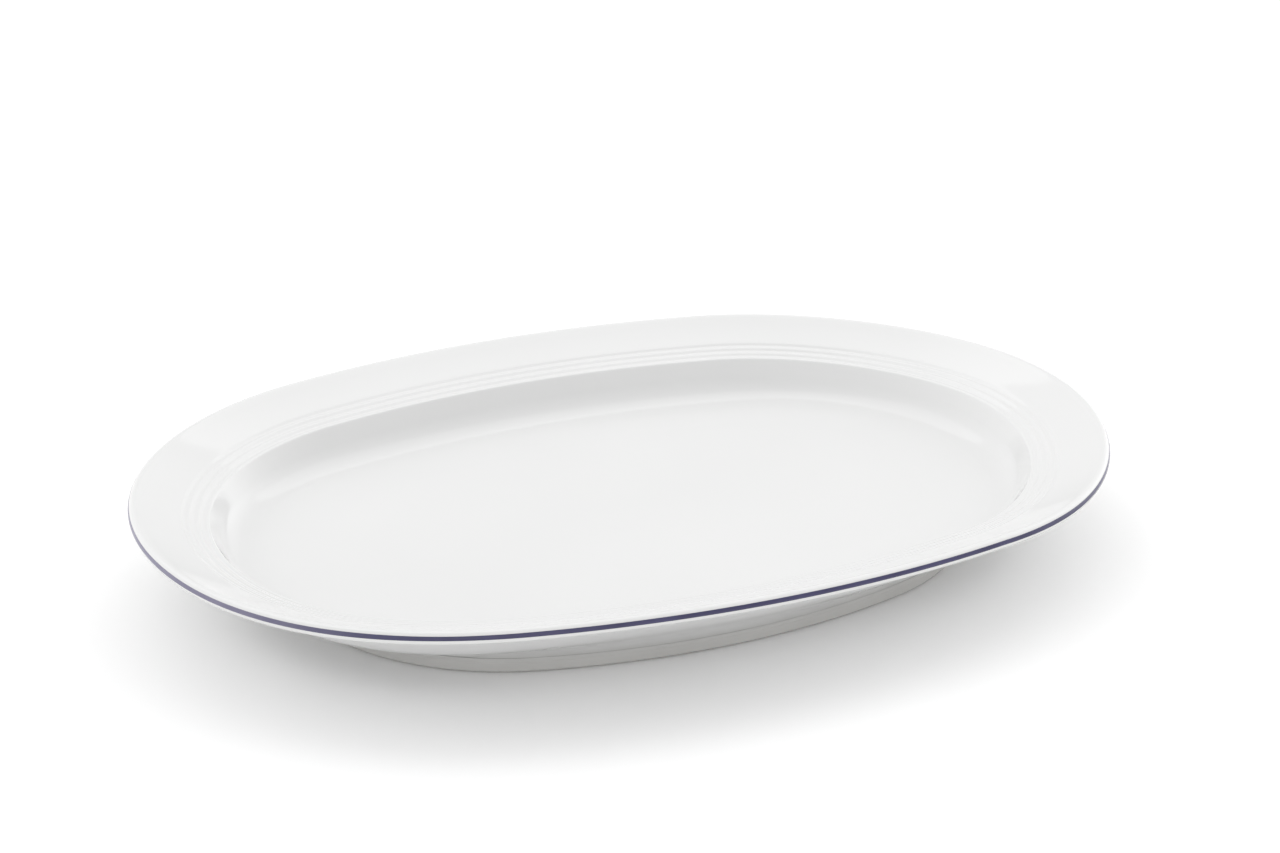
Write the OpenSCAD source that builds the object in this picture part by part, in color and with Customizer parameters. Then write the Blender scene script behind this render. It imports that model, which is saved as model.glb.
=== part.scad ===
// Oval serving platter in white porcelain, with a blue line round the edge of its rim.
// Origin: centre of the foot's resting face. +X runs along the platter, +Z is up.
// The oval is four arcs that meet smoothly, so every edge of the rim and the well is
// the same oval set further in, and each stretch of wall is a plain turned surface.

/* [Plan] */
// Length of the platter over the rim
length = 360; // [350:1:370]
// Radius of the rounded ends at the rim's edge
end_radius = 121; // [119:0.5:122]
// How far each end turns to either side before the flatter side begins, in degrees
end_turn = 76.5; // [76:0.1:77]

/* [Rim] */
// Height of the rim's edge above the table
height = 37.7; // [37:0.1:38.4]
// Slope of the rim next to its edge, in degrees
rim_slope = 24; // [23:0.5:25]
// Radius of the gentle hollow across the rim
rim_hollow = 140; // [130:5:160]
// Distance from the rim's edge in to the lip of the well
rim_width = 28; // [27.6:0.1:28.8]
// Radius of the rolled edge
edge_radius = 2.2; // [2.1:0.05:2.3]
// Thickness of the rim at its lip, measured upright
lip_thickness = 4.1; // [3.8:0.1:4.6]

/* [Grooves] */
// Number of fine grooves round the rim
grooves = 3; // [0:1:3]
// Spacing of the grooves
groove_pitch = 3.2; // [2.8:0.1:3.6]
// Depth of each groove
groove_depth = 0.35; // [0.1:0.05:0.5]
// Distance from the lip of the well out to the nearest groove
groove_gap = 0.6; // [0.6:0.1:2]

/* [Well] */
// Height of the well's floor above the table
floor_height = 14.7; // [14.2:0.1:15.2]
// Thickness of the floor
floor_thickness = 4.5; // [4.2:0.1:4.8]
// Slope of the well's wall, in degrees
wall_slope = 60; // [57:1:63]
// Radius of the cove between wall and floor
cove_radius = 14.5; // [13:0.5:15]
// Slope of the floor where it meets the cove, in degrees
floor_rise = 4.5; // [3.5:0.5:5]
// Distance from the rim's edge in to the level part of the floor
level_start = 56; // [54:1:58]

/* [Foot] */
// Length of the foot ring
foot_length = 252; // [248:1:256]
// Radius of the foot ring's rounded ends
foot_end_radius = 79; // [77:0.5:80]
// How far each end of the foot ring turns to either side, in degrees
foot_end_turn = 73; // [72.5:0.1:73.5]
// Width of the foot ring, from outer flank to inner flank
foot_band = 5.5; // [5:0.1:6.5]
// Height of the foot ring
foot_height = 5; // [4.5:0.1:5.5]
// Radius of the foot ring's lower corners
foot_corner = 1.2; // [0.8:0.1:1.5]
// Slope of the flare above the foot ring, in degrees
flare_slope = 50; // [49:1:52]

/* [Edge line] */
// Thickness of the enamel
enamel = 0.15; // [0.1:0.01:0.2]
// Where the line ends below, in degrees up round the edge
line_low = -3; // [-8:1:2]
// Where the line ends above, in degrees up round the edge
line_high = 38; // [34:1:44]

/* [Hidden] */
$fn = 180;

arc_step = 7;                  // degrees between the points of a rounded corner
groove_steps = 8;              // points across one groove
plain_steps = 5;               // points across the plain stretch of the rim
merge_depth = 17;              // how far the ring pieces run in under the level floor
flare_reach = 7.9;             // how far the flare stands out from the foot's flank
floor_under = floor_height - floor_thickness;

under_slope = 18;              // slope of the rim's underside next to its edge, in degrees
under_lip_shift = 3.3;         // how far the lip's underside lies out from the lip
under_cove_shift = 6.6;        // how far the wall's underside lies in from the lip
lip_round = 1.2;
floor_round = 150;
under_lip_round = 6;
under_cove_round = 19;

// The rolled edge is a circle, and the rim's upper face leaves it as an arc that bends up.
edge_middle = [edge_radius, height - edge_radius];
edge_end = edge_middle + edge_radius * [sin(rim_slope), cos(rim_slope)];
hollow_middle = edge_end + rim_hollow * [sin(rim_slope), cos(rim_slope)];
function rim_z(in) = hollow_middle[1] - sqrt(pow(rim_hollow, 2) - pow(hollow_middle[0] - in, 2));

// Height of the rim's upper face with its grooves, which are smooth waves.
function wave(out) = groove_depth * (1 - cos(360 * out / groove_pitch)) / 2;
function groove_points() = [
    for (i = [0 : grooves * groove_steps])
        let (
            out = i * groove_pitch / groove_steps,
            in = rim_width - groove_gap - out
        )
        [in, rim_z(in) - wave(out)]
];

// Points of the plain stretch of the rim, from the grooves out to its edge.
plain_start = rim_width - groove_gap - grooves * groove_pitch;
function plain_points() = [
    for (i = [1 : plain_steps])
        let (in = plain_start + (edge_end[0] - plain_start) * i / (plain_steps + 1))
        [in, rim_z(in)]
];

// Points of a rounded corner at b, between the lines to a and to c.
function unit(v) = v / norm(v);
function corner(a, b, c, r) =
    let (
        u = unit(a - b),
        v = unit(c - b),
        half = acos(u * v) / 2,
        middle = b + unit(u + v) * r / sin(half),
        first = b + u * r / tan(half),
        last = b + v * r / tan(half),
        from = atan2(first[1] - middle[1], first[0] - middle[0]),
        to = atan2(last[1] - middle[1], last[0] - middle[0]),
        turn = (to - from + 540) % 360 - 180,
        steps = max(2, ceil(abs(turn) / arc_step))
    )
    [for (i = [0 : steps]) let (t = from + turn * i / steps) middle + r * [cos(t), sin(t)]];

// Points round the rim's edge, from one angle to another, at a depth under its surface.
function edge_points(from, to, depth) =
    let (steps = ceil(abs(to - from) / arc_step))
    [for (i = [0 : steps]) let (t = from + (to - from) * i / steps)
        edge_middle + (edge_radius - depth) * [-cos(t), sin(t)]];

// Corners of the section: [distance in from the rim's edge, height].
lip = [rim_width, rim_z(rim_width)];
floor_edge = [level_start, floor_height];
cove_run = (lip[1] - floor_height - (level_start - rim_width) * tan(floor_rise))
    / (tan(wall_slope) - tan(floor_rise));
cove = lip + cove_run * [1, -tan(wall_slope)];
inner_end = level_start + merge_depth;
under_edge = edge_middle - edge_radius * [sin(under_slope), cos(under_slope)];
under_lip_in = rim_width - under_lip_shift;
under_lip = [under_lip_in, rim_z(under_lip_in) - lip_thickness];
under_cove = [rim_width + under_cove_shift, floor_under];

// Section of the body, from the floor out over the rim, round its edge and back under.
function body_section() = concat(
    [[inner_end, floor_height]],
    corner([inner_end, floor_height], floor_edge, cove, floor_round),
    corner(floor_edge, cove, lip, cove_radius),
    corner(cove, lip, [plain_start, rim_z(plain_start)], lip_round),
    grooves > 0 ? groove_points() : [],
    plain_points(),
    edge_points(90 + rim_slope, line_high, 0),
    edge_points(line_high, line_low, enamel),
    edge_points(line_low, under_slope - 90, 0),
    corner(under_edge, under_lip, under_cove, under_lip_round),
    corner(under_lip, under_cove, [inner_end, floor_under], under_cove_round),
    [[inner_end, floor_under]]
);

// Section of the flare that carries the wall down to the foot ring.
flare_rise = flare_reach * tan(flare_slope);
flare_section = [
    [0, foot_height],
    [-flare_reach, foot_height + flare_rise],
    [foot_band, foot_height + flare_rise],
    [foot_band, foot_height]
];

// Section of the foot ring, with its lower corners rounded.
foot_section = concat(
    [[0, foot_height], [foot_band, foot_height]],
    corner([foot_band, foot_height], [foot_band, 0], [0, 0], foot_corner),
    corner([foot_band, 0], [0, 0], [0, foot_height], foot_corner)
);

// Section of the enamel line on the rim's edge.
function line_section() = concat(
    edge_points(line_high, line_low, 0),
    edge_points(line_low, line_high, enamel)
);

// An oval is [half length, end radius, turn of each end]. The centre of a side arc lies on
// the line from the end of that arc through the centre of the end arc, so they meet smoothly.
rim_oval = [length / 2, end_radius, end_turn];
foot_oval = [foot_length / 2, foot_end_radius, foot_end_turn];
function end_centre(oval) = oval[0] - oval[1];
function side_radius(oval) = oval[1] + end_centre(oval) / cos(oval[2]);
function side_centre(oval) = -end_centre(oval) * tan(oval[2]);

// Moves along X in whole millimetres, then thousandths, then the rest, so that no digit is
// lost and neighbouring arcs stay exactly in line.
module along(distance) {
    whole = floor(distance);
    fine = floor(1000 * (distance - whole)) / 1000;
    translate([whole, 0, 0])
        translate([fine, 0, 0])
            translate([distance - whole - fine, 0, 0])
                children();
}

// Turns a section through one arc of an oval.
module turned(section, radius, half_turn) {
    rotate_extrude(angle = 2 * half_turn, start = -half_turn)
        along(radius)
            polygon([for (p = section) [-p[0], p[1]]]);
}

// Carries a section all the way round an oval.
module around(section, oval) {
    for (side = [0, 180]) {
        rotate([0, 0, side])
            along(end_centre(oval))
                turned(section, oval[1], oval[2]);
        rotate([0, 0, side + 90])
            along(side_centre(oval))
                turned(section, side_radius(oval), 90 - oval[2]);
    }
}

// The level middle of the floor: a round plate for each end and a straight one that
// runs out under the ring pieces of the two sides.
module floor_middle() {
    inner = end_radius - inner_end;
    half_length = end_centre(rim_oval) + inner * cos(end_turn);
    half_width = ceil(side_radius(rim_oval) + side_centre(rim_oval) - inner_end) + 1;
    translate([-half_length, -half_width, floor_under])
        cube([2 * half_length, 2 * half_width, floor_thickness]);
    for (side = [-1, 1])
        translate([side * end_centre(rim_oval), 0, floor_under])
            cylinder(r = inner, h = floor_thickness);
}

module platter_body() {
    color("white") union() {
        around(body_section(), rim_oval);
        floor_middle();
        around(flare_section, foot_oval);
    }
}

module foot_ring() {
    color("ivory") around(foot_section, foot_oval);
}

module blue_edge_line() {
    color("midnightblue") around(line_section(), rim_oval);
}

platter_body();
foot_ring();
blue_edge_line();
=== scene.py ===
import math

import bpy
import numpy as np
from mathutils import Matrix, Vector


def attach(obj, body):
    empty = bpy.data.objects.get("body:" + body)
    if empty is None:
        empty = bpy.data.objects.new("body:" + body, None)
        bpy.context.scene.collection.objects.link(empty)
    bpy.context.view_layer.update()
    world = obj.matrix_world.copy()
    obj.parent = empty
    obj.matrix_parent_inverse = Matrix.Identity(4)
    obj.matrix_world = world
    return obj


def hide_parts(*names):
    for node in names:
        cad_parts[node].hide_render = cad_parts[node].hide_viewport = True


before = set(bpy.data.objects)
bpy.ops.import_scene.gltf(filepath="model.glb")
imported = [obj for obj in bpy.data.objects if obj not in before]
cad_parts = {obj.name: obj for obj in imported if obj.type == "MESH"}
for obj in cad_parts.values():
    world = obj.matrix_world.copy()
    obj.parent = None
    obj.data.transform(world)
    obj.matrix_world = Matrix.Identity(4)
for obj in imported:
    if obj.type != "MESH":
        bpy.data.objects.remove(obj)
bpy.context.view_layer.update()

# ---------------------------------------------------------------- sizes, in millimetres
MM = 0.001
HEIGHT = 37.7
RIM_OVAL = (180.0, 121.0, 76.5)      # half length, end radius, turn of each end
FOOT_OVAL = (126.0, 79.0, 73.0)
EDGE_RADIUS = 2.2
RIM_SLOPE, RIM_HOLLOW, UNDER_SLOPE = 24.0, 140.0, 18.0
RIM_WIDTH = 28.0
LIP_THICKNESS = 4.1
GROOVES, GROOVE_PITCH, GROOVE_DEPTH, GROOVE_GAP = 3, 3.2, 0.35, 0.6
FLOOR, FLOOR_UNDER = 14.7, 10.2
WALL_SLOPE, COVE_RADIUS, FLOOR_RISE, LEVEL_START = 60.0, 14.5, 4.5, 56.0
FOOT_HEIGHT, FOOT_BAND, FOOT_CORNER, FLARE_SLOPE = 5.0, 5.5, 1.2, 50.0
ENAMEL, LINE_LOW, LINE_HIGH = 0.15, -3.0, 38.0
LIP_ROUND, LIP_REACH, FLOOR_ROUND = 1.2, 8.0, 150.0
UNDER_LIP_SHIFT, UNDER_COVE_SHIFT = 3.3, 6.6
UNDER_LIP_ROUND, UNDER_COVE_ROUND = 6.0, 19.0
FLARE_FILLET = 3.2                   # radius at the root of the flare
SHELL_BLEND = 2.5                    # how softly the shell runs into the flare
FLOOR_PLAIN, INNER = 65.0, 112.0     # insets of the level floor, where it ends and its middle
RECESS_ROUND, RECESS_LEAN, RECESS_MIDDLE = 3.0, 0.4, 70.0
GROUND_BELOW = 0.12                  # the foot is ground bare below this height
RIM_RISE = 1.4                       # how far the rim's highest point stands over its mean
RIM_WAVES = ((2, -0.4, 0.0), (3, 0.5, 0.25), (4, 0.5, -0.3))    # slight warp from the firing
SAG_REACH = 16.0                     # how far in from the lip the warp dies out
ENAMEL_STEP = 1.0                    # degrees over which the enamel's edge steps down to its bed
FIT = 0.9999                         # keeps every piece just inside the CAD solids' own facets


def tan(degrees):
    return math.tan(math.radians(degrees))


def cosd(degrees):
    return math.cos(math.radians(degrees))


def sind(degrees):
    return math.sin(math.radians(degrees))


# ---------------------------------------------------------------- ovals
def oval_arcs(oval):
    half, end, turn = oval
    run = half - end
    return run, end, turn, end + run / cosd(turn), run * tan(turn)


def oval_point(oval, angles, inset):
    """Points of the oval set in by inset, where its outward normal has these angles."""
    run, end, turn, side, drop = oval_arcs(oval)
    t = np.radians(angles)
    c, s = np.cos(t), np.sin(t)
    away = np.abs(((np.asarray(angles) + 90) % 180) - 90)
    at_end = away <= turn + 1e-9
    x = np.where(at_end, np.sign(c) * run + (end - inset) * c, (side - inset) * c)
    y = np.where(at_end, (end - inset) * s, (side - inset) * s - np.sign(s) * drop)
    return x, y


def oval_inset(oval, x, y):
    """How far points lie inside the oval: negative outside it."""
    run, end, turn, side, drop = oval_arcs(oval)
    ax, ay = np.abs(x), np.abs(y)
    at_end = (ax - run) * tan(turn) >= ay
    to_end = end - np.hypot(ax - run, ay)
    to_side = side - np.hypot(ax, ay + drop)
    return np.where(at_end, to_end, to_side)


def stations():
    """Normal angles all the way round, closest where the sides are flattest."""
    quarter = []
    for low, high, step in ((0, 73, 0.95), (73, 76.5, 0.875), (76.5, 90, 0.375)):
        count = max(1, round((high - low) / step))
        quarter += [low + (high - low) * i / count for i in range(count)]
    quarter = np.array(quarter + [90.0])
    half = np.concatenate([quarter, 180 - quarter[-2::-1]])
    return np.concatenate([half, 180 + half[1:-1]])


ANGLES = stations()
COUNT = len(ANGLES)


# ---------------------------------------------------------------- sections
def unit(v):
    return v / np.linalg.norm(v)


def corner(a, b, c, radius, step):
    """Points of a rounded corner at b between the lines to a and to c."""
    a, b, c = (np.array(p, float) for p in (a, b, c))
    u, v = unit(a - b), unit(c - b)
    half = math.acos(float(np.dot(u, v))) / 2
    middle = b + unit(u + v) * radius / math.sin(half)
    first = b + u * radius / math.tan(half)
    last = b + v * radius / math.tan(half)
    start = math.atan2(*(first - middle)[::-1])
    end = math.atan2(*(last - middle)[::-1])
    turn = (end - start + 3 * math.pi) % (2 * math.pi) - math.pi
    count = max(3, math.ceil(abs(math.degrees(turn)) / step))
    t = start + turn * np.arange(count + 1) / count
    return [middle + radius * np.array([math.cos(k), math.sin(k)]) for k in t]


def between(a, b, count):
    a, b = np.array(a, float), np.array(b, float)
    return [a + (b - a) * i / (count + 1) for i in range(1, count + 1)]


EDGE_MIDDLE = np.array([EDGE_RADIUS, HEIGHT - EDGE_RADIUS])
EDGE_END = EDGE_MIDDLE + EDGE_RADIUS * np.array([sind(RIM_SLOPE), cosd(RIM_SLOPE)])
HOLLOW_MIDDLE = EDGE_END + RIM_HOLLOW * np.array([sind(RIM_SLOPE), cosd(RIM_SLOPE)])


def rim_z(inset):
    """Height of the rim's gently hollow upper face."""
    return HOLLOW_MIDDLE[1] - math.sqrt(RIM_HOLLOW**2 - (HOLLOW_MIDDLE[0] - inset) ** 2)


LIP = (RIM_WIDTH, rim_z(RIM_WIDTH))
COVE_RUN = (LIP[1] - FLOOR - (LEVEL_START - RIM_WIDTH) * tan(FLOOR_RISE)) / (
    tan(WALL_SLOPE) - tan(FLOOR_RISE)
)
COVE = (LIP[0] + COVE_RUN, LIP[1] - COVE_RUN * tan(WALL_SLOPE))


def top_section():
    """From the middle of the floor out to where the rim's edge begins to turn."""
    rows = [np.array([INNER, FLOOR])] + between((INNER, FLOOR), (FLOOR_PLAIN, FLOOR), 5)
    rows += corner((INNER, FLOOR), (LEVEL_START, FLOOR), COVE, FLOOR_ROUND, 0.5)
    rows += corner((LEVEL_START, FLOOR), COVE, LIP, COVE_RADIUS, 2.6)
    outward = (RIM_WIDTH - LIP_REACH, rim_z(RIM_WIDTH - LIP_REACH))
    lip = corner(COVE, LIP, outward, LIP_ROUND, 6)
    rows += between(rows[-1], lip[0], 2) + lip
    per_groove = 14
    for i in range(GROOVES * per_groove + 1):
        out = i * GROOVE_PITCH / per_groove
        inset = RIM_WIDTH - GROOVE_GAP - out
        wave = GROOVE_DEPTH * (1 - math.cos(2 * math.pi * out / GROOVE_PITCH)) / 2
        rows.append(np.array([inset, rim_z(inset) - wave]))
    plain, plain_steps = rows[-1][0], 9
    for i in range(1, plain_steps):
        inset = plain + (EDGE_END[0] - plain) * i / plain_steps
        rows.append(np.array([inset, rim_z(inset)]))
    return np.array(rows)


def under_section():
    """The underside from the edge to the end of its first turn, and all of it to the middle."""
    start = EDGE_MIDDLE - EDGE_RADIUS * np.array([sind(UNDER_SLOPE), cosd(UNDER_SLOPE)])
    lip_in = RIM_WIDTH - UNDER_LIP_SHIFT
    lip = (lip_in, rim_z(lip_in) - LIP_THICKNESS)
    cove = (RIM_WIDTH + UNDER_COVE_SHIFT, FLOOR_UNDER)
    turn = corner(start, lip, cove, UNDER_LIP_ROUND, 4)
    rows = between(start, turn[0], 5) + turn
    full = [start] + rows + corner(lip, cove, (INNER, FLOOR_UNDER), UNDER_COVE_ROUND, 1.5)
    full.append(np.array([INNER, FLOOR_UNDER]))
    return np.array(rows), np.array(full)


def edge_rows(low, high, count, radius):
    """Rows round the rim's edge between angles that may differ from station to station."""
    rows = []
    for i in range(count + 1):
        t = np.radians(low + (high - low) * i / count)
        rows.append((EDGE_MIDDLE[0] - radius * np.cos(t), EDGE_MIDDLE[1] + radius * np.sin(t)))
    return rows


def ripple(seed, waves, angles):
    """A slow wobble round the oval, between about -1 and 1, the same on each run."""
    total = np.zeros_like(angles)
    for i, n in enumerate(waves):
        phase = 2.399 * (seed + 3 * i) + 0.7 * i * i
        total += np.sin(np.radians(angles) * n + phase) / len(waves) ** 0.5
    return total


# ---------------------------------------------------------------- meshes
WARP = np.zeros(COUNT)
for waves, even, odd in RIM_WAVES:
    WARP += even * np.cos(np.radians(waves * ANGLES)) + odd * np.sin(np.radians(waves * ANGLES))
WARP = RIM_RISE - np.minimum(WARP, RIM_RISE)              # how far each station lies low


def fade(value, start, end):
    """1 before start, 0 after end, smooth between."""
    t = np.clip((value - start) / (end - start), 0, 1)
    return 1 - t * t * (3 - 2 * t)


def sag(inset):
    """How far the warped rim lies low; it dies out down the wall."""
    return WARP * fade(inset, RIM_WIDTH, RIM_WIDTH + SAG_REACH)


def ring(oval, inset, z, low=0.0):
    x, y = oval_point(oval, ANGLES, inset)
    return np.stack([x, y, np.broadcast_to(z, x.shape) - low], axis=1)


def rim_ring(inset, z):
    return ring(RIM_OVAL, inset, z, sag(inset))


def strip_faces(rows, closed):
    """Quads between neighbouring rings, with each ring's stations joined all the way round."""
    faces = []
    last = rows if closed else rows - 1
    for r in range(last):
        a, b = r * COUNT, ((r + 1) % rows) * COUNT
        for i in range(COUNT):
            j = (i + 1) % COUNT
            faces.append((a + i, b + i, b + j, a + j))
    return faces


def cap_faces(row, flip):
    """Quads that close a ring across its width, from each station to its mirror image."""
    base = row * COUNT
    half = COUNT // 2
    faces = []
    for i in range(half):
        a, b = i, i + 1
        c, d = (COUNT - b) % COUNT, (COUNT - a) % COUNT
        corners = []
        for k in (a, b, c, d):
            if base + k not in corners:
                corners.append(base + k)
        faces.append(tuple(corners[::-1] if flip else corners))
    return faces


def make_piece(name, rings, faces):
    mesh = bpy.data.meshes.new(name)
    points = np.concatenate(rings) * MM * FIT
    mesh.from_pydata(points.tolist(), [], faces)
    mesh.validate()
    mesh.shade_smooth()
    piece = bpy.data.objects.new(name, mesh)
    bpy.context.collection.objects.link(piece)
    return piece


LOW = LINE_LOW + 0.8 * ripple(1, (3, 7, 12), ANGLES)
HIGH = LINE_HIGH + 1.2 * ripple(5, (2, 5, 9, 17), ANGLES)
BED = EDGE_RADIUS - ENAMEL


def smooth_min(a, b, k):
    h = np.clip(0.5 + 0.5 * (b - a) / k, 0, 1)
    return b + (a - b) * h - k * h * (1 - h)


FILLET_RUN = FLARE_FILLET * tan((90 - FLARE_SLOPE) / 2)
SEAM = FOOT_HEIGHT - FILLET_RUN      # height where the foot meets the shell
CROSSING = np.concatenate([np.linspace(0.05, 0.9, 26), [0.93, 0.955, 0.975]])
FILLET_TURNS = (36, 28, 20, 13, 7, 2, 0)


def flare_height(out):
    """Height of the flare above the foot, with a fillet at its root."""
    line = FOOT_HEIGHT + out * tan(FLARE_SLOPE)
    end = FILLET_RUN * cosd(FLARE_SLOPE)
    near = np.clip(out, 0, end)
    arc = SEAM + np.sqrt(np.maximum(FLARE_FILLET**2 - (FLARE_FILLET - near) ** 2, 0))
    return np.where(out < end, arc, line)


def body_rings():
    """The shell from the middle of the floor over the rim and back under to the foot."""
    rings = [rim_ring(w, z) for w, z in top_section()]
    edge = edge_rows(90 + RIM_SLOPE, HIGH, 6, EDGE_RADIUS)
    edge += edge_rows(HIGH - ENAMEL_STEP, LOW + ENAMEL_STEP, 10, BED)
    edge += edge_rows(LOW, UNDER_SLOPE - 90, 14, EDGE_RADIUS)
    rings += [rim_ring(w, z) for w, z in edge]
    near, full = under_section()
    rings += [rim_ring(w, z) for w, z in near]
    # From the rim's oval across to the foot's oval, at the lower of the shell and the flare.
    start = rings[-1]
    end = ring(FOOT_OVAL, 0.0, 0.0)
    shell_w, shell_z = full[:, 0], full[:, 1]
    for share in CROSSING:
        flat = start + (end - start) * share
        w = oval_inset(RIM_OVAL, flat[:, 0], flat[:, 1])
        out = -oval_inset(FOOT_OVAL, flat[:, 0], flat[:, 1])
        shell = np.interp(w, shell_w, shell_z) - sag(w)
        flat[:, 2] = smooth_min(shell, flare_height(out), SHELL_BLEND)
        rings.append(flat)
    for turn in FILLET_TURNS:
        out, rise = FLARE_FILLET * (1 - cosd(turn)), FLARE_FILLET * sind(turn)
        rings.append(ring(FOOT_OVAL, -out, SEAM + rise))
    return rings


def inner_foot():
    """The inner flank of the foot and the recess's level top."""
    flank = (FOOT_BAND, SEAM)
    high = (FOOT_BAND + RECESS_LEAN, FLOOR_UNDER)
    mid = (RECESS_MIDDLE, FLOOR_UNDER)
    rows = [np.array(flank)] + corner(flank, high, mid, RECESS_ROUND, 9)
    rows += between(rows[-1], mid, 4) + [np.array(mid)]
    return rows


def foot_section():
    """The foot ring, closed, with rounded lower corners and close rows at its seam."""
    rows = [np.array([0.0, SEAM - down]) for down in (0.0, 0.25, 0.8)]
    rows += corner((0, SEAM), (0, 0), (FOOT_BAND, 0), FOOT_CORNER, 8)
    rows += between(rows[-1], (FOOT_BAND - FOOT_CORNER, 0), 4)
    rows += corner((0, 0), (FOOT_BAND, 0), (FOOT_BAND, SEAM), FOOT_CORNER, 8)
    return rows + [np.array([FOOT_BAND, SEAM - down]) for down in (0.25, 0.0)]


rings = body_rings() + [ring(FOOT_OVAL, w, z) for w, z in inner_foot()]
faces = strip_faces(len(rings), False) + cap_faces(0, False) + cap_faces(len(rings) - 1, True)
body = make_piece("platter_shell", rings, faces)

rings = [ring(FOOT_OVAL, w, z) for w, z in foot_section()]
foot = make_piece("foot_bearing_ring", rings, strip_faces(len(rings), True))

line_edge = edge_rows(HIGH, LOW, 14, EDGE_RADIUS)
line_edge += edge_rows(LOW + ENAMEL_STEP, HIGH - ENAMEL_STEP, 6, BED)
rings = [rim_ring(w, z) for w, z in line_edge]
line = make_piece("blue_line_enamel", rings, strip_faces(len(rings), True))


# ---------------------------------------------------------------- materials
def material(name):
    m = bpy.data.materials.new(name)
    m.use_nodes = True
    tree = m.node_tree
    return m, tree, tree.nodes["Principled BSDF"]


def noise(tree, scale, detail, roughness=0.5):
    coords = tree.nodes.new("ShaderNodeTexCoord")
    n = tree.nodes.new("ShaderNodeTexNoise")
    n.inputs["Scale"].default_value = scale
    n.inputs["Detail"].default_value = detail
    n.inputs["Roughness"].default_value = roughness
    tree.links.new(coords.outputs["Object"], n.inputs["Vector"])
    return n.outputs["Fac"]


def ramp(tree, factor, stops):
    r = tree.nodes.new("ShaderNodeValToRGB")
    while len(r.color_ramp.elements) < len(stops):
        r.color_ramp.elements.new(0.5)
    for element, (place, colour) in zip(r.color_ramp.elements, stops):
        element.position = place
        element.color = (*colour, 1)
    tree.links.new(factor, r.inputs["Fac"])
    return r.outputs["Color"]


def spread(tree, factor, low, high):
    n = tree.nodes.new("ShaderNodeMapRange")
    n.inputs["To Min"].default_value = low
    n.inputs["To Max"].default_value = high
    tree.links.new(factor, n.inputs["Value"])
    return n.outputs["Result"]


def along(tree, axis, start, end):
    """0 nearer than start to the origin along an axis, on either side of it, and 1 past end."""
    coords = tree.nodes.new("ShaderNodeTexCoord")
    parts = tree.nodes.new("ShaderNodeSeparateXYZ")
    tree.links.new(coords.outputs["Object"], parts.inputs[0])
    size = tree.nodes.new("ShaderNodeMath")
    size.operation = "ABSOLUTE"
    tree.links.new(parts.outputs[axis], size.inputs[0])
    n = tree.nodes.new("ShaderNodeMapRange")
    n.interpolation_type = "SMOOTHSTEP"
    n.inputs["From Min"].default_value = start
    n.inputs["From Max"].default_value = end
    tree.links.new(size.outputs[0], n.inputs["Value"])
    return n.outputs["Result"]


def blend(tree, factor, first, second):
    n = tree.nodes.new("ShaderNodeMix")
    n.data_type = "RGBA"
    tree.links.new(factor, n.inputs["Factor"])
    tree.links.new(first, n.inputs[6])
    tree.links.new(second, n.inputs[7])
    return n.outputs[2]


def white_glaze():
    """White glaze, with painted shade that makes it greyer low on the foot."""
    glaze, tree, shader = material("white_glaze")
    full = ramp(tree, noise(tree, 9, 3), [(0.35, (0.72, 0.721, 0.719)), (0.65, (0.735, 0.736, 0.734))])
    # Painted shade: this darker, warmer colour takes over from 12 mm down to 2 mm on the foot,
    # standing in for the dim light that reaches it under the rim.
    painted_shade = ramp(tree, noise(tree, 25, 3), [(0.35, (0.56, 0.555, 0.54)), (0.65, (0.59, 0.585, 0.57))])
    tint = blend(tree, along(tree, "Z", 0.002, 0.012), painted_shade, full)
    tree.links.new(tint, shader.inputs["Base Color"])
    tree.links.new(spread(tree, noise(tree, 40, 4), 0.05, 0.09), shader.inputs["Roughness"])
    shader.inputs["IOR"].default_value = 1.45
    return glaze


def blue_enamel():
    """Blue enamel with a painted sheen that makes it paler towards the platter's two ends."""
    enamel, tree, shader = material("blue_enamel")
    dark = ramp(tree, noise(tree, 60, 4), [(0.3, (0.035, 0.033, 0.085)), (0.7, (0.06, 0.056, 0.13))])
    # Painted sheen: this paler colour takes over towards both ends, standing in for light reflected
    # off the line there.
    painted_sheen = ramp(tree, noise(tree, 80, 4), [(0.3, (0.17, 0.16, 0.24)), (0.7, (0.21, 0.20, 0.28))])
    tint = blend(tree, along(tree, "X", 0.125, 0.178), dark, painted_sheen)
    tree.links.new(tint, shader.inputs["Base Color"])
    tree.links.new(spread(tree, noise(tree, 90, 3), 0.12, 0.25), shader.inputs["Roughness"])
    return enamel


def bare_porcelain():
    """The unglazed, ground face that the foot stands on."""
    bare, tree, shader = material("bare_porcelain")
    tint = ramp(tree, noise(tree, 300, 5, 0.6), [(0.3, (0.72, 0.71, 0.67)), (0.7, (0.80, 0.79, 0.76))])
    tree.links.new(tint, shader.inputs["Base Color"])
    tree.links.new(spread(tree, noise(tree, 200, 3), 0.55, 0.8), shader.inputs["Roughness"])
    return bare


def floor_paper():
    paper, tree, shader = material("floor_paper")
    tint = ramp(tree, noise(tree, 3, 2), [(0.3, (0.965, 0.965, 0.965)), (0.7, (0.975, 0.975, 0.975))])
    tree.links.new(tint, shader.inputs["Base Color"])
    shader.inputs["Roughness"].default_value = 0.9
    shader.inputs["Specular IOR Level"].default_value = 0.0
    return paper


glaze = white_glaze()
body.data.materials.append(glaze)
foot.data.materials.append(glaze)
foot.data.materials.append(bare_porcelain())
line.data.materials.append(blue_enamel())
for polygon in foot.data.polygons:
    if polygon.center.z < GROUND_BELOW * MM:
        polygon.material_index = 1

for piece, node, slot in (
    (body, "platter_body", "glazed_porcelain"),
    (foot, "foot_ring", "bare_porcelain"),
    (line, "blue_edge_line", "blue_enamel"),
):
    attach(piece, "root")
    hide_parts(node)


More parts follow.
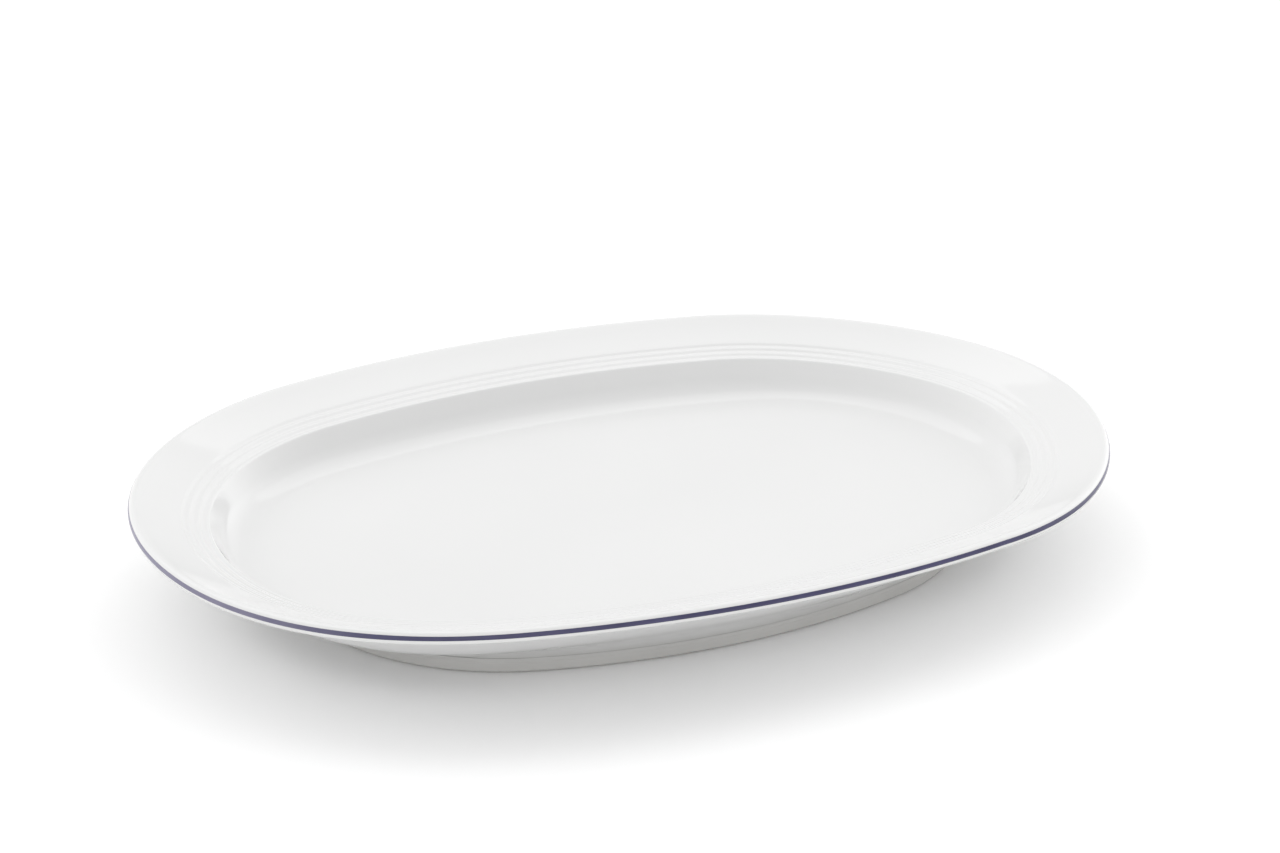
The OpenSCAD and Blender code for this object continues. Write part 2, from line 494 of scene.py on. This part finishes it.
# ---------------------------------------------------------------- floor, light and camera
AZIMUTH, ELEVATION = math.radians(-25.05), math.radians(22.66)
FLOOR_HALF, FLOOR_DROP = 12.0, 0.0002
LENS, SENSOR = 101.27, 36
CAMERA_AWAY, CAMERA_ASIDE, CAMERA_UP, AIM_HEIGHT = 1.2856, 0.0043, 0.01177, 0.03568
SOFTBOX_SIZE, SOFTBOX_AWAY, SOFTBOX_RISE, SOFTBOX_POWER = (2.6, 1.4), 2.0, 58, 8.8

# Each light is (turn from the camera's side, height, strength, how narrow it is).
LOW_LIGHTS = (
    (0, 12, 1.22, 3.5),
    (90, 12, 0.5, 3.5),
    (135, 12, 2.0, 9),
    (225, 12, 1.0, 3.5),
    (270, 12, 0.6, 3.5),
)
HIGH_LIGHTS = ((120, 45, 0.7, 3.5), (240, 45, 0.4, 3.5), (300, 45, 0.4, 3.5))


def plane(name, half, z):
    corners = [(-half, -half, z), (half, -half, z), (half, half, z), (-half, half, z)]
    mesh = bpy.data.meshes.new(name)
    mesh.from_pydata(corners, [], [(0, 1, 2, 3)])
    o = bpy.data.objects.new(name, mesh)
    bpy.context.collection.objects.link(o)
    return o


def direction(azimuth, rise):
    """The way out to a light or the camera; azimuth 0 is the -Y side."""
    level = math.cos(rise)
    return Vector((math.sin(azimuth) * level, -math.cos(azimuth) * level, math.sin(rise)))


floor = plane("studio_floor", FLOOR_HALF, -FLOOR_DROP)
floor.data.materials.append(floor_paper())


def studio_light(world, lights):
    """Adds the soft lights up into the world's brightness."""
    tree = world.node_tree
    coords = tree.nodes.new("ShaderNodeTexCoord")

    def step(operation, first, second):
        n = tree.nodes.new("ShaderNodeMath")
        n.operation = operation
        for socket, value in zip(n.inputs, (first, second)):
            if isinstance(value, (int, float)):
                socket.default_value = value
            else:
                tree.links.new(value, socket)
        return n.outputs[0]

    total = None
    for turn, height, strength, narrow in lights:
        aim = tree.nodes.new("ShaderNodeVectorMath")
        aim.operation = "DOT_PRODUCT"
        tree.links.new(coords.outputs["Generated"], aim.inputs[0])
        aim.inputs[1].default_value = direction(AZIMUTH + math.radians(turn), math.radians(height))
        fall = step("MULTIPLY", step("SUBTRACT", aim.outputs["Value"], 1.0), narrow)
        glow = step("MULTIPLY", step("EXPONENT", fall, 0.0), strength)
        total = glow if total is None else step("ADD", total, glow)
    tree.links.new(total, tree.nodes["Background"].inputs["Strength"])


world = bpy.data.worlds.new("studio")
bpy.context.scene.world = world
world.use_nodes = True
world.node_tree.nodes["Background"].inputs["Color"].default_value = (1, 1, 1, 1)
studio_light(world, LOW_LIGHTS + HIGH_LIGHTS)

# One large softbox above and behind; the glaze mirrors its lower edge in the rim and the cove.
aim = direction(AZIMUTH + math.pi, math.radians(SOFTBOX_RISE))
lamp = bpy.data.lights.new("softbox", "AREA")
lamp.shape = "RECTANGLE"
lamp.size, lamp.size_y = SOFTBOX_SIZE
lamp.energy = SOFTBOX_POWER
softbox = bpy.data.objects.new("softbox", lamp)
softbox.location = SOFTBOX_AWAY * aim
softbox.rotation_euler = (-aim).to_track_quat("-Z", "Y").to_euler()
bpy.context.collection.objects.link(softbox)

back = direction(AZIMUTH, ELEVATION)
right = Vector((math.cos(AZIMUTH), math.sin(AZIMUTH), 0))
up = back.cross(right)
place = CAMERA_AWAY * back + CAMERA_ASIDE * right + CAMERA_UP * up + Vector((0, 0, AIM_HEIGHT))
camera = bpy.data.objects.new("camera", bpy.data.cameras.new("camera"))
camera.data.sensor_width = SENSOR
camera.data.lens = LENS
camera.data.clip_start, camera.data.clip_end = 0.05, 60
camera.matrix_world = Matrix(
    (
        (right.x, up.x, back.x, place.x),
        (right.y, up.y, back.y, place.y),
        (right.z, up.z, back.z, place.z),
        (0, 0, 0, 1),
    )
)
bpy.context.collection.objects.link(camera)
scene = bpy.context.scene
scene.camera = camera
scene.view_settings.view_transform = "Standard"
